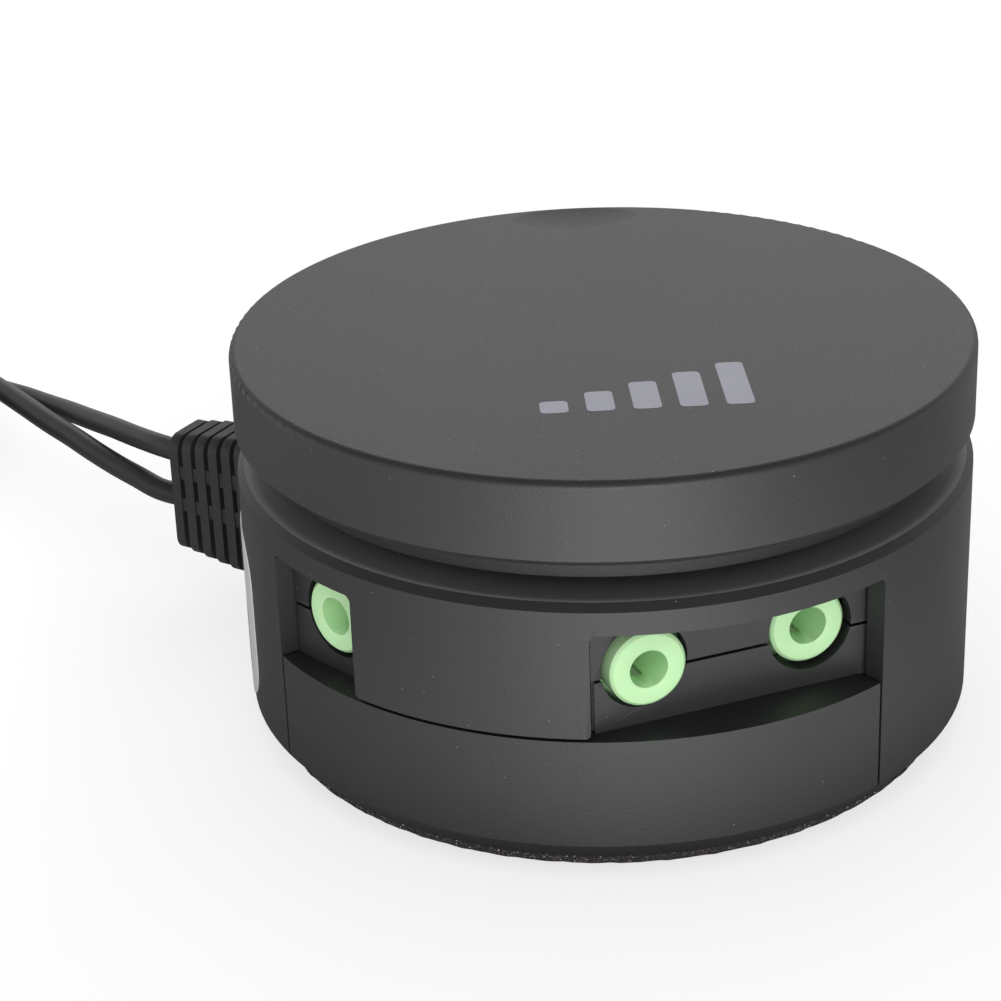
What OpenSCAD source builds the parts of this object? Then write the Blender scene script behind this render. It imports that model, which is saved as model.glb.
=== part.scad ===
// Wired desk volume controller: a broad turning knob on a round housing. Three 3.5 mm audio
// sockets sit behind windows in the front, and two audio leads leave through one ribbed strain
// relief. Millimetres, +Z up, origin on the table under the knob's axis, front towards -Y.
// Bearings are in degrees from the front (-Y), positive towards +X.

/* [Housing] */
// Outer diameter of the housing
body_d = 70; // [66:0.5:80]
// Thickness of the housing's wall
wall = 2; // [1.6:0.1:2.6]
// Height of the rim above the table
rim_z = 27; // [26.5:0.1:30]
// Thickness of the deck under the knob, at the rim's level
deck_t = 2; // [1.6:0.1:2.4]
// Depth of the deck below the rim
deck_dip = 0.4; // [0.1:0.1:0.8]
// Width of the chamfer round the rim
rim_chamfer = 0.65; // [0.3:0.05:1.4]
// Height of the chamfer round the rim
rim_chamfer_h = 0.7; // [0.3:0.1:1.4]
// Width of the chamfer round the foot
foot_chamfer = 1.6; // [0.6:0.1:1.9]
// Height of the chamfer round the foot
foot_chamfer_h = 2; // [0.6:0.1:2.6]
// Gap at every visible seam between the two housings
seam = 0.3; // [0.1:0.05:0.4]
// Thickness of the bottom plate
plate_t = 2; // [1.6:0.1:3]

/* [Foam pad] */
// Diameter of the foam pad
foam_d = 66.2; // [50:0.2:68]
// Thickness of the foam pad
foam_t = 1.2; // [0.8:0.1:2.5]

/* [Front opening] */
// Bearing of the left end of the front wall
front_from = -59; // [-62:0.5:-56]
// Bearing of the right end of the front wall
front_to = 44.4; // [42:0.2:48]
// Bearing of the left side of the tongue between the windows
tongue_from = -40; // [-42:0.5:-37]
// Bearing of the right side of the tongue between the windows
tongue_to = -2.5; // [-4:0.5:0]
// Height of the ledge on top of the front wall
ledge_z = 13.75; // [12.5:0.05:14.2]
// Thickness of the ledge
ledge_t = 1.5; // [1:0.1:2]
// Height of the windows' upper edge
window_top = 24.1; // [23.7:0.1:24.7]
// Radius of the windows' upper corners
window_r = 0.8; // [0.3:0.1:1.5]
// Radius of the tongue's lower corners
tongue_r = 0.6; // [0.3:0.1:1.2]

/* [Socket panels] */
// Bearing that the right panel faces
right_panel_az = 23; // [20:0.5:26]
// Depth of the right panel behind the wall's outer face
right_panel_inset = 4.7; // [4.1:0.1:5.3]
// Bearing that the left panel faces
left_panel_az = -44; // [-46:0.5:-42]
// Depth of the left panel behind the wall's outer face
left_panel_inset = 2.8; // [2.4:0.1:3.4]
// Thickness of the panels
panel_t = 1.6; // [1.2:0.1:2]
// Height of the parting line across the panels
split_z = 18.8; // [17.5:0.1:19.5]

/* [Sockets] */
// Height of the socket axes
socket_z = 19.5; // [19:0.1:20]
// Height of a socket's axis above the circuit board
socket_axis_h = 4.5; // [4:0.1:5]
// Diameter of a socket's collar
collar_d = 7.2; // [6:0.1:7.6]
// Length of a socket's collar
collar_len = 4; // [3.6:0.1:5]
// Bore for a 3.5 mm plug
bore_d = 3.6; // [3.55:0.01:3.7]
// Width of a socket's body
socket_w = 10; // [9:0.2:11]
// Depth of a socket's body
socket_depth = 12; // [11.5:0.1:13]
// Gap round a collar in its panel
collar_gap = 0.5; // [0.2:0.1:0.9]
// Place of the left socket along its panel
left_socket_x = -2.5; // [-3.5:0.1:-1.5]
// Place of the middle socket along the right panel
middle_socket_x = -9.4; // [-10.5:0.1:-8.5]
// Place of the right socket along the right panel
right_socket_x = 6.6; // [5.5:0.1:7.5]
// How far the left socket's face stands in front of its panel
left_socket_out = 0.3; // [0.1:0.1:1]
// How far the middle socket's face stands in front of its panel
middle_socket_out = 1; // [0.7:0.1:1.5]
// How far the right socket's face stands in front of its panel, below nought where it lies behind
right_socket_out = -0.4; // [-0.6:0.1:0.3]

/* [Knob] */
// Diameter of the knob
knob_d = 70; // [66:0.5:76]
// Height of the knob's cap
knob_h = 7.9; // [7.4:0.1:9.9]
// Height of the knob's lower edge above the rim
knob_lift = 3.5; // [2.9:0.1:4.6]
// Radius of the knob's upper edge
knob_edge_r = 0.7; // [0.3:0.1:1.6]
// Bevel under the knob's lower edge
knob_bevel = 0.6; // [0.3:0.05:0.9]
// Thickness of the knob's side wall
cap_wall = 2.5; // [1.8:0.1:3]
// Thickness of the knob's top
cap_top_t = 2.2; // [1.8:0.1:2.6]
// Thickness of the skirt under the knob
skirt_t = 2; // [1.4:0.1:3]
// Height of the skirt's lower edge above the rim
skirt_clear = 1.3; // [0.8:0.1:1.8]
// Height of the carrier disc above the knob's lower edge
carrier_up = 0.6; // [0.3:0.1:1]
// Thickness of the knob's carrier disc
carrier_t = 1.8; // [1.4:0.1:2.2]
// Length of the finger dimple, along the knob's edge
dimple_len = 13.5; // [10:0.1:15]
// Width of the finger dimple, towards the axis
dimple_wid = 7; // [5:0.1:8]
// Depth of the finger dimple
dimple_deep = 0.7; // [0.3:0.05:1.2]
// Distance of the dimple's centre from the knob's edge
dimple_edge = 4; // [3.8:0.1:6]
// Turn of the knob from its middle position
knob_turn = 4.5; // [-20:0.5:20]

/* [Potentiometer] */
// Width of the potentiometer's square case
pot_w = 13; // [12.6:0.1:14]
// Thickness of the case's sheet
pot_wall = 0.8; // [0.5:0.1:1]
// Diameter of the shaft
shaft_d = 6; // [5.6:0.1:6.2]
// Distance from the axis to the flat on the shaft
shaft_flat = 2.5; // [2.2:0.05:2.7]
// Outer diameter of the threaded bush
bush_d = 7; // [6.8:0.1:7.4]
// Width of the nut across its flats
nut_af = 10; // [9.4:0.1:11]
// Height of the nut
nut_h = 2; // [1.4:0.1:2.1]
// Diameter of the washer
washer_d = 12; // [11:0.1:14]
// Thickness of the washer
washer_t = 0.5; // [0.3:0.1:0.6]
// Radial running clearance of the shaft in its bush
shaft_run = 0.04; // [0.02:0.01:0.08]
// Radial clearance of pieces pushed onto the shaft
shaft_push = 0.02; // [0.01:0.01:0.04]

/* [Circuit board] */
// Thickness of the circuit board
board_t = 1.6; // [1.2:0.1:2]
// Gap between the board's edge and the housing
board_gap = 1; // [0.5:0.1:2]

/* [Screws] */
// Diameter of a housing screw's thread
screw_d = 2.6; // [2:0.1:3]
// Diameter of a housing screw's head
screw_head_d = 4.6; // [4:0.1:5.2]
// Diameter of a boss for a housing screw
boss_d = 6; // [5.4:0.1:7]
// Diameter of a board or knob screw's thread
small_screw_d = 2; // [1.6:0.1:2.2]
// Diameter of a board or knob screw's head
small_head_d = 3.8; // [3.2:0.1:4.2]
// Height of every screw's head
screw_head_h = 1.2; // [0.9:0.1:1.3]

/* [Strain relief] */
// Bearing of the strain relief
relief_az = -119; // [-124:0.5:-116]
// Length of the strain relief outside the wall
relief_len = 15.4; // [12:0.1:18]
// Height of its middle above the table
relief_z = 11.9; // [11.4:0.1:12.4]
// Width at the wall
relief_root_w = 7.8; // [7:0.1:8.6]
// Width at the free end
relief_end_w = 6.4; // [5.6:0.1:7]
// Height at the wall
relief_root_h = 17; // [15:0.1:17.5]
// Height at the free end
relief_end_h = 12.8; // [12:0.1:13.6]
// Distance from rib to rib
rib_pitch = 1.75; // [1.4:0.01:2]
// Width of the groove between ribs
groove_w = 0.65; // [0.4:0.05:0.9]
// Depth of the groove between ribs
groove_deep = 0.7; // [0.3:0.05:1]
// Radius of the block's long edges
relief_edge_r = 1.6; // [1:0.1:2.2]
// Height of the upper lead where it leaves the relief
upper_lead_z = 15.4; // [15:0.1:16]
// Height of the lower lead where it leaves the relief
lower_lead_z = 10.2; // [9.5:0.1:10.5]

/* [Label] */
// Bearing of the label's middle
label_az = -89.5; // [-92:0.5:-89]
// Width of the label
label_w = 21; // [16:0.2:22]
// Height of the label
label_h = 17.2; // [12:0.2:18]
// Height of the label's lower edge above the foot's chamfer
label_up = 0.7; // [0.3:0.1:3]
// Corner radius of the label
label_r = 4.5; // [1:0.1:5]
// Thickness of the label
label_t = 0.12; // [0.08:0.01:0.2]

/* [Leads] */
// Diameter of a lead
lead_d = 2.5; // [2.3:0.05:2.6]
// Distance between the turns of a coiled lead
turn_pitch = 3; // [2.95:0.05:3.2]
// Radius of the middle of a coil's turns
coil_mid_r = 13.5; // [13:0.1:14]
// Thickness of the strap that ties a coil
strap_t = 0.5; // [0.3:0.1:0.8]
// Width of the strap that ties a coil
strap_w = 5; // [3:0.5:6]
// Diameter of a plug's moulding
plug_d = 8.4; // [7:0.1:9]
// Length of a plug's moulding
plug_len = 17; // [14:0.5:20]
// Length of the tapered sleeve behind a plug's moulding
sleeve_len = 10; // [7:0.5:12]
// Diameter of a plug's pin
pin_d = 3.5; // [3.4:0.05:3.5]
// Length of a plug's pin
pin_len = 14; // [13:0.5:15]

/* [Hidden] */
$fn = 96;

charcoal = [0.26, 0.26, 0.27];
ink_black = [0.13, 0.13, 0.14];
lime = [0.55, 0.88, 0.52];
nickel = [0.75, 0.75, 0.73];
phenolic = [0.45, 0.27, 0.15];

// Small fits shared by many pieces: side clearance, hole over screw, and overlap inside a solid
fit = 0.15;
screw_room = 0.05;
bite = 0.4;
// How far the front wall reaches in behind the upper housing's wall
front_lap = 0.6;
// Bearing that the panels run on past each end of the front wall
panel_reach = 14;
far = 200;

body_r = body_d / 2;
wall_r = body_r - wall;
foot_z = foam_t;
plate_top = foot_z + plate_t;
label_z = foot_z + foot_chamfer_h + label_up;
deck_under = rim_z - deck_t;
deck_top = rim_z - deck_dip;
board_top = socket_z - socket_axis_h;
board_z = board_top - board_t;
right_d = body_r - right_panel_inset;
left_d = body_r - left_panel_inset;
hole_d = collar_d + 2 * collar_gap;
socket_h = min(2 * socket_axis_h, deck_under - board_top - bite);

bush_hole_d = bush_d + 2 * fit;
bush_gap = 0.4;
bush_top = deck_top + washer_t + nut_h + bush_gap;
knob_r = knob_d / 2;
knob_z = rim_z + knob_lift;
knob_top = knob_z + knob_h;
cap_under = knob_top - cap_top_t;
carrier_z = knob_z + carrier_up;
carrier_top = carrier_z + carrier_t;
carrier_r = knob_r - cap_wall - fit;
hub_z = bush_top + bush_gap;
hub_top = cap_under - fit;
hub_r = shaft_d / 2 + 2.6;

// Places of the screws, as [bearing, distance from the axis]
housing_screw_at = [[80, wall_r - boss_d], [170, wall_r - boss_d], [-93, wall_r - boss_d]];
board_screw_r = 21;
board_screw_in = 14;
board_screw_at = [[115, board_screw_r], [-160, board_screw_r], [-75, board_screw_in]];
knob_screw_r = 20;
knob_screw_at = [[30, knob_screw_r], [150, knob_screw_r], [270, knob_screw_r]];
screw_tip = 0.5;
post_d = small_screw_d + 3;
screw_bite = 7;
small_bite = 5;

// Potentiometer stack, upwards from the board
track_t = 1;
track_gap = 0.4;
disc_t = 1.2;
disc_gap = 0.5;
disc_r = pot_w / 2 - pot_wall - disc_gap;
sleeve_t = 0.7;
wiper_w = 0.5;
wiper_edge = 0.15;
wiper_lift = 0.1;
rotor_r = shaft_d / 2 + sleeve_t;
gang_pitch = (deck_under - pot_wall - board_top) / 2;
track_z = [board_top + 0.5, board_top + 0.5 + gang_pitch];
shaft_z = board_top + 0.3;
terminal_w = 0.8;
terminal_t = 0.4;
terminal_pitch = 2.5;
terminal_out = [1.2, 2.8];
leg_below = 1.2;

// Strain relief, as distances from the knob's axis
neck_w = 5.2;
neck_down = 5.4;
neck_up = 5;
neck_z = [relief_z - neck_down, relief_z + neck_up];
flange_t = 1.5;
flange_over = 1.8;
flange_d = sqrt(pow(wall_r, 2) - pow(neck_w / 2 + flange_over, 2)) - 0.05;
relief_root = body_r + 0.05;
relief_end = body_r + relief_len;
rib_count = floor((relief_len - 2) / rib_pitch);

// Unit vector on a bearing
function ray(az) = [sin(az), -cos(az), 0];

// Shapes shared by several pieces

// Turns a piece from the front to a bearing
module on(az) rotate([0, 0, az]) children();

// Wedge between two bearings
module wedge(from, to, z0, z1)
    translate([0, 0, z0]) linear_extrude(z1 - z0)
        polygon([[0, 0], [for (i = [0:1]) ray(from)[i] * far], [for (i = [0:1]) ray((from + to) / 2)[i] * far],
            [for (i = [0:1]) ray(to)[i] * far]]);

module tube(r_in, r_out, z0, z1) difference() {
    translate([0, 0, z0]) cylinder(r = r_out, h = z1 - z0);
    translate([0, 0, z0 - 1]) cylinder(r = r_in, h = z1 - z0 + 2);
}

// Rectangle with round corners, from squares and circles
module soft_rect(w, h, r) {
    square([w - 2 * r, h], center = true);
    square([w, h - 2 * r], center = true);
    for (x = [-1, 1], y = [-1, 1]) translate([x * (w / 2 - r), y * (h / 2 - r)]) circle(r = r);
}

// Upright screw: the thread points up from z = 0, the head lies below it
module screw(d, head_d, length) {
    slot_w = head_d * 0.2;
    slot_l = head_d * 0.66;
    difference() {
        union() {
            cylinder(d = d, h = length);
            translate([0, 0, -screw_head_h]) cylinder(d = head_d, h = screw_head_h);
        }
        for (a = [0, 90]) rotate([0, 0, a])
            translate([-slot_l / 2, -slot_w / 2, -screw_head_h - 1]) cube([slot_l, slot_w, 1 + screw_head_h / 2]);
    }
}

module at_places(places) for (p = places) on(p[0]) translate([0, -p[1], 0]) children();

// Housing

// Space inside the housing, behind both socket panels
module inside(slack) intersection() {
    on(right_panel_az) translate([-far, -(right_d - panel_t - slack), -far]) cube([2 * far, far, 2 * far]);
    on(left_panel_az) translate([-far, -(left_d - panel_t - slack), -far]) cube([2 * far, far, 2 * far]);
}

// Both flat panels between two heights, cut off at a radius outside the windows
module panels(z0, z1, r, side_gap) intersection() {
    union() for (p = [[right_panel_az, right_d], [left_panel_az, left_d]])
        on(p[0]) translate([-body_r, -p[1], z0]) cube([2 * body_r, panel_t, z1 - z0]);
    union() {
        translate([0, 0, z0 - 1]) cylinder(r = r, h = z1 - z0 + 2);
        intersection() {
            translate([0, 0, z0 - 1]) cylinder(r = body_r - wall / 3, h = z1 - z0 + 2);
            union() {
                wedge(front_from + side_gap, tongue_from - side_gap, z0 - 1, z1 + 1);
                wedge(tongue_to + side_gap, front_to - side_gap, z0 - 1, z1 + 1);
            }
        }
    }
    wedge(front_from - panel_reach, front_to + panel_reach, z0 - 1, z1 + 1);
}

// Outline of the wall's foot and side, up to a height
module wall_outline(r_in, top)
    polygon([[r_in, foot_z], [body_r - foot_chamfer, foot_z], [body_r, foot_z + foot_chamfer_h],
        [body_r, top], [r_in, top]]);

// Each socket as [panel bearing, distance of its face from the axis, place along the panel]
left_socket = [left_panel_az, left_d + left_socket_out, left_socket_x];
middle_socket = [right_panel_az, right_d + middle_socket_out, middle_socket_x];
right_socket = [right_panel_az, right_d + right_socket_out, right_socket_x];
sockets = [left_socket, middle_socket, right_socket];

// Puts a socket in its place: its own face is at y = 0, looking along -Y
module at_socket(s) on(s[0]) translate([s[2], -s[1], socket_z]) children();

module along_y(r, from, to) translate([0, from, 0]) rotate([-90, 0, 0]) cylinder(r = r, h = to - from);

module socket_holes() for (s = sockets) at_socket(s) along_y(hole_d / 2, -panel_t, collar_len + panel_t);

// Fills an upper corner of a window, rounded; the window lies on the given side of the bearing
module window_corner(az, side) on(az) difference() {
    translate([side > 0 ? -1 : -window_r, -far, window_top - window_r]) cube([window_r + 1, far, window_r + 1]);
    translate([side * window_r, 1, window_top - window_r]) rotate([90, 0, 0]) cylinder(r = 1.05 * window_r, h = far + 2);
}

// What rounds off a lower corner of the tongue, at a bearing; side is 1 where the tongue runs on to the right
module tongue_corner(az, side) on(az) difference() {
    translate([side > 0 ? -1 : -tongue_r, -far, ledge_z + seam - 1]) cube([tongue_r + 1, far, tongue_r + 1]);
    translate([side * tongue_r, 1, ledge_z + seam + tongue_r]) rotate([90, 0, 0]) cylinder(r = 1.05 * tongue_r, h = far + 2);
}

module upper_housing() color(charcoal) difference() {
    seam_deg = seam / body_r * 180 / PI;
    union() {
        difference() {
            rotate_extrude() union() {
                wall_outline(wall_r, deck_under);
                polygon([[bush_hole_d / 2, deck_under], [body_r, deck_under], [body_r, rim_z - rim_chamfer_h],
                    [body_r - rim_chamfer, rim_z], [body_r - rim_chamfer - 4 * deck_dip, deck_top],
                    [bush_hole_d / 2, deck_top]]);
            }
            intersection() {
                tube(wall_r - 1, far, foot_z - 1, window_top);
                difference() {
                    union() {
                        wedge(front_from, front_to, foot_z - 1, ledge_z + seam);
                        wedge(front_from, tongue_from, foot_z, window_top);
                        wedge(tongue_to, front_to, foot_z, window_top);
                        tongue_corner(tongue_from, 1);
                        tongue_corner(tongue_to, -1);
                    }
                    for (az = [front_from, tongue_to]) window_corner(az, 1);
                    for (az = [tongue_from, front_to]) window_corner(az, -1);
                }
            }
            on(relief_az) translate([-neck_w / 2 - fit, -far, foot_z - 1])
                cube([neck_w + 2 * fit, far - wall_r + wall, neck_z[1] + fit - foot_z + 1]);
        }
        panels(split_z + seam / 2, deck_under + bite, wall_r + bite, 0);
        at_places(housing_screw_at) translate([0, 0, plate_top + fit])
            cylinder(d = boss_d, h = deck_under - plate_top - fit + bite);
    }
    socket_holes();
    at_places(housing_screw_at) cylinder(d = screw_d + 2 * screw_room, h = plate_top + screw_bite + 1);
}

module lower_housing() color(charcoal) difference() {
    seam_deg = seam / body_r * 180 / PI;
    front_in = wall_r - front_lap;
    union() {
        translate([0, 0, foot_z]) cylinder(r = wall_r - fit, h = plate_t);
        intersection() {
            rotate_extrude() wall_outline(front_in, ledge_z);
            wedge(front_from + seam_deg, front_to - seam_deg, 0, rim_z);
        }
        difference() {
            intersection() {
                translate([0, 0, ledge_z - ledge_t]) cylinder(r = front_in + bite * 2, h = ledge_t);
                wedge(front_from + seam_deg, front_to - seam_deg, 0, rim_z);
            }
            inside(0);
        }
        panels(ledge_z - ledge_t / 2, split_z - seam / 2, wall_r - fit, seam_deg);
        at_places(board_screw_at) translate([0, 0, plate_top - bite])
            cylinder(d = post_d, h = board_z - plate_top + bite);
        intersection() {
            rotate_extrude() union() {
                wall_outline(front_in, neck_z[0] - flange_over - fit);
                wall_outline(wall_r, neck_z[0] - fit);
            }
            on(relief_az) translate([-neck_w / 2, -far, 0]) cube([neck_w, far, rim_z]);
        }
    }
    socket_holes();
    at_places(board_screw_at) translate([0, 0, board_z - small_bite - 1])
        cylinder(d = small_screw_d + 2 * screw_room, h = small_bite + 2);
    at_places(housing_screw_at) {
        translate([0, 0, foot_z - 1]) cylinder(d = screw_d + 2 * fit, h = plate_t + 2);
        translate([0, 0, foot_z - 1]) cylinder(d = screw_head_d + 2 * fit, h = screw_head_h + 1);
    }
}

module foam_pad() color([0.17, 0.16, 0.15]) cylinder(d = foam_d, h = foam_t);

module label() color("white") intersection() {
    tube(body_r + 0.02, body_r + 0.02 + label_t, label_z - 1, label_z + label_h + 1);
    on(label_az) translate([0, -wall_r / 2, label_z + label_h / 2]) rotate([90, 0, 0])
        linear_extrude(body_r) soft_rect(label_w, label_h, label_r);
}

// Ribbed strain relief: a flange inside the wall, a neck through it and a tapered block outside.
// Two short bridges cross each groove.
function relief_w(d) = relief_root_w + (relief_end_w - relief_root_w) * (d - relief_root) / (relief_end - relief_root);
function relief_h(d) = relief_root_h + (relief_end_h - relief_root_h) * (d - relief_root) / (relief_end - relief_root);

module relief_slab(from, to, w, h, r) translate([0, -from, relief_z]) rotate([90, 0, 0])
    linear_extrude(to - from) soft_rect(w, h, r);

module strain_relief() color(ink_black) on(relief_az) {
    first_groove = relief_end - rib_count * rib_pitch;
    flange_h = neck_z[1] - neck_z[0] + 2 * flange_over;
    translate([-neck_w / 2 - flange_over, -flange_d, (neck_z[0] + neck_z[1] - flange_h) / 2])
        cube([neck_w + 2 * flange_over, flange_t, flange_h]);
    translate([-neck_w / 2, -relief_root - bite, neck_z[0]])
        cube([neck_w, relief_root + bite - flange_d + bite, neck_z[1] - neck_z[0]]);
    relief_slab(relief_root, first_groove, relief_w(relief_root), relief_h(relief_root), relief_edge_r);
    for (i = [0:rib_count - 1]) {
        d = first_groove + i * rib_pitch;
        bridge_h = relief_h(d) / 9;
        relief_slab(d - bite, d + groove_w + bite, relief_w(d) - 2 * groove_deep, relief_h(d) - 2 * groove_deep,
            relief_edge_r - groove_deep / 2);
        relief_slab(d + groove_w, d + rib_pitch, relief_w(d), relief_h(d), relief_edge_r);
        for (z = [-0.08, 0.2]) translate([-relief_w(d) / 2 + bite / 2, -d - groove_w - bite / 2,
            relief_z + z * relief_h(d) - bridge_h / 2]) cube([relief_w(d) - bite, groove_w + bite, bridge_h]);
    }
}

// Sockets

// Contacts of one socket: each is a spring along the bore with a leg down to the board, given as
// [side, start of the spring behind the face, end of the spring]; side 0 lies under the bore
spring_t = 0.3;
spring_w = 0.7;
spring_x = bore_d / 2 + fit;
leg_x = socket_w / 2 - 1.2;
leg_w = 0.8;
contacts = [[0, 2.6, 9], [1, 5.5, 11], [-1, 10.5, 14]];

module socket_body(s) color(lime) at_socket(s) difference() {
    edge = 0.3;
    union() {
        rotate([-90, 0, 0]) cylinder(d1 = collar_d - 2 * edge, d2 = collar_d, h = edge);
        along_y(collar_d / 2, edge, collar_len + bite);
        translate([-socket_w / 2, collar_len, -socket_axis_h]) cube([socket_w, socket_depth, socket_h]);
    }
    along_y(bore_d / 2, -1, collar_len + socket_depth - 1);
    for (c = contacts) {
        translate([0, c[1] - fit, 0]) rotate([0, c[0] == 0 ? 90 : c[0] > 0 ? 0 : 180, 0])
            translate([0, 0, -spring_w / 2 - fit])
                cube([c[0] == 0 ? spring_x + spring_t + fit : leg_x + spring_t + fit, c[2] - c[1] + 2 * fit, spring_w + 2 * fit]);
        translate([c[0] * leg_x - leg_w / 2, c[2] - leg_w - fit, -socket_axis_h - 1])
            cube([leg_w, leg_w + 2 * fit, socket_axis_h + 1]);
    }
}

module socket_contacts(s) color(nickel) at_socket(s) for (c = contacts) {
    translate([0, c[1], 0]) rotate([0, c[0] == 0 ? 90 : c[0] > 0 ? 0 : 180, 0])
        translate([spring_x, 0, -spring_w / 2]) cube([spring_t, c[2] - c[1], spring_w]);
    if (c[0] != 0) translate([c[0] > 0 ? spring_x : -leg_x - spring_t / 2, c[2] - leg_w, -spring_w / 2])
        cube([leg_x + spring_t / 2 - spring_x, leg_w, spring_w]);
    translate([c[0] * leg_x - spring_t / 2, c[2] - leg_w, -socket_axis_h - board_t - leg_below])
        cube([spring_t, leg_w, socket_axis_h + board_t + leg_below - (c[0] == 0 ? spring_x : 0)]);
}

module socket_left() socket_body(left_socket);
module socket_middle() socket_body(middle_socket);
module socket_right() socket_body(right_socket);
module socket_left_contacts() socket_contacts(left_socket);
module socket_middle_contacts() socket_contacts(middle_socket);
module socket_right_contacts() socket_contacts(right_socket);

// Circuit board

wire_d = 0.9;
wire_land = 18;
wire_room = 20;
jacket_strip = 7;

module circuit_board() color([0.1, 0.35, 0.2]) difference() {
    leg_hole = 1.3;
    intersection() {
        translate([0, 0, board_z]) cylinder(r = wall_r - 2 * board_gap, h = board_t);
        inside(board_gap);
    }
    at_places(housing_screw_at) cylinder(d = boss_d + 2 * fit, h = rim_z);
    at_places(board_screw_at) cylinder(d = small_screw_d + 2 * fit, h = rim_z);
    on(relief_az) translate([-neck_w / 2 - flange_over - board_gap, -far, 0])
        cube([neck_w + 2 * flange_over + 2 * board_gap, far - wire_room, rim_z]);
    for (s = sockets) at_socket(s) for (c = contacts)
        translate([c[0] * leg_x, c[2] - leg_w / 2, -socket_axis_h - board_t - 1]) cylinder(d = leg_hole, h = board_t + 2);
    for (g = [0, 1], i = [-1:1])
        translate([i * terminal_pitch, pot_w / 2 + terminal_out[g], board_z - 1]) cylinder(d = leg_hole, h = board_t + 2);
}

// Potentiometer: two tracks on one shaft, so that both channels turn together

module pot_case() color(nickel) difference() {
    translate([-pot_w / 2, -pot_w / 2, board_top]) cube([pot_w, pot_w, deck_under - board_top]);
    translate([-pot_w / 2 + pot_wall, -pot_w / 2 + pot_wall, board_top - 1])
        cube([pot_w - 2 * pot_wall, pot_w - 2 * pot_wall, deck_under - pot_wall - board_top + 1]);
    translate([-terminal_pitch - 1, 0, board_top - 1])
        cube([2 * terminal_pitch + 2, pot_w, track_z[1] + track_t + fit - board_top + 1]);
    cylinder(d = bush_d + 2 * shaft_push, h = rim_z);
}

module pot_tracks() color(phenolic) for (z = track_z) difference() {
    side = pot_w - 2 * pot_wall - 0.04;
    translate([-side / 2, -side / 2, z]) cube([side, side, track_t]);
    translate([0, 0, z - 1]) cylinder(r = rotor_r + 0.4, h = track_t + 2);
}

module pot_terminals() color(nickel) for (g = [0, 1], i = [-1:1]) {
    root = pot_w / 2 - pot_wall - 0.02;
    leg_y = pot_w / 2 + terminal_out[g];
    z = track_z[g] + track_t / 2;
    translate([i * terminal_pitch - terminal_w / 2, root, z - terminal_t / 2])
        cube([terminal_w, leg_y + terminal_t / 2 - root, terminal_t]);
    translate([i * terminal_pitch - terminal_w / 2, leg_y - terminal_t / 2, board_z - leg_below])
        cube([terminal_w, terminal_t, z + terminal_t / 2 - board_z + leg_below]);
}

module pot_bush() color(nickel) tube(shaft_d / 2 + shaft_run, bush_d / 2, deck_under - pot_wall, bush_top);

module pot_washer() color(nickel) tube(bush_d / 2 + fit, washer_d / 2, deck_top, deck_top + washer_t);

module pot_nut() color(nickel) difference() {
    translate([0, 0, deck_top + washer_t]) cylinder(d = nut_af / cos(30), h = nut_h, $fn = 6);
    cylinder(r = bush_d / 2 + shaft_push, h = far);
}

module pot_shaft() color(nickel) on(knob_turn) difference() {
    translate([0, 0, shaft_z]) cylinder(d = shaft_d, h = hub_top - fit - shaft_z);
    translate([-shaft_d, shaft_flat, hub_z]) cube([2 * shaft_d, shaft_d, hub_top]);
}

module pot_rotor() color([0.85, 0.83, 0.78]) difference() {
    union() {
        translate([0, 0, track_z[0]]) cylinder(r = rotor_r, h = track_z[1] + track_t + track_gap + disc_t - track_z[0]);
        for (z = track_z) translate([0, 0, z + track_t + track_gap]) cylinder(r = disc_r, h = disc_t);
    }
    cylinder(r = shaft_d / 2 + shaft_push, h = rim_z);
}

module pot_wipers() color([0.8, 0.65, 0.3]) on(knob_turn) for (z = track_z, a = [60, 240])
    translate([0, 0, z + track_t + wiper_lift]) rotate([0, 0, a])
        rotate_extrude(angle = 50) translate([disc_r - wiper_edge - wiper_w, 0]) square([wiper_w, track_gap - wiper_lift]);

// Knob

module knob_cap() color([0.3, 0.3, 0.31]) on(knob_turn) difference() {
    // The dimple is cut with a spindle that lies along the knob's edge
    spindle_r = (pow(dimple_wid / 2, 2) + pow(dimple_deep, 2)) / (2 * dimple_deep);
    arc_r = (pow(dimple_len / 2, 2) + pow(dimple_deep, 2)) / (2 * dimple_deep);
    union() {
        rotate_extrude() difference() {
            union() {
                translate([0, knob_z]) square([knob_r, knob_h - knob_edge_r]);
                translate([0, knob_z]) square([knob_r - knob_edge_r, knob_h]);
                translate([knob_r - knob_edge_r, knob_top - knob_edge_r]) circle(r = knob_edge_r);
            }
            translate([-1, knob_z - 1]) square([knob_r - cap_wall + 1, knob_h - cap_top_t + 1]);
            polygon([[knob_r - 2 * knob_bevel, knob_z - knob_bevel], [knob_r + knob_bevel, knob_z - knob_bevel],
                [knob_r + knob_bevel, knob_z + 2 * knob_bevel]]);
        }
        at_places(knob_screw_at) translate([0, 0, carrier_top])
            cylinder(d = post_d, h = cap_under - carrier_top + bite);
    }
    at_places(knob_screw_at) cylinder(d = small_screw_d + 2 * screw_room, h = cap_under - bite);
    translate([0, knob_r - dimple_edge, knob_top + spindle_r - dimple_deep]) rotate([0, 90, 0])
        rotate_extrude() intersection() {
            translate([spindle_r - arc_r, 0]) circle(r = arc_r, $fn = 200);
            translate([0, -dimple_len]) square([spindle_r + 1, 2 * dimple_len]);
        }
}

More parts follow.
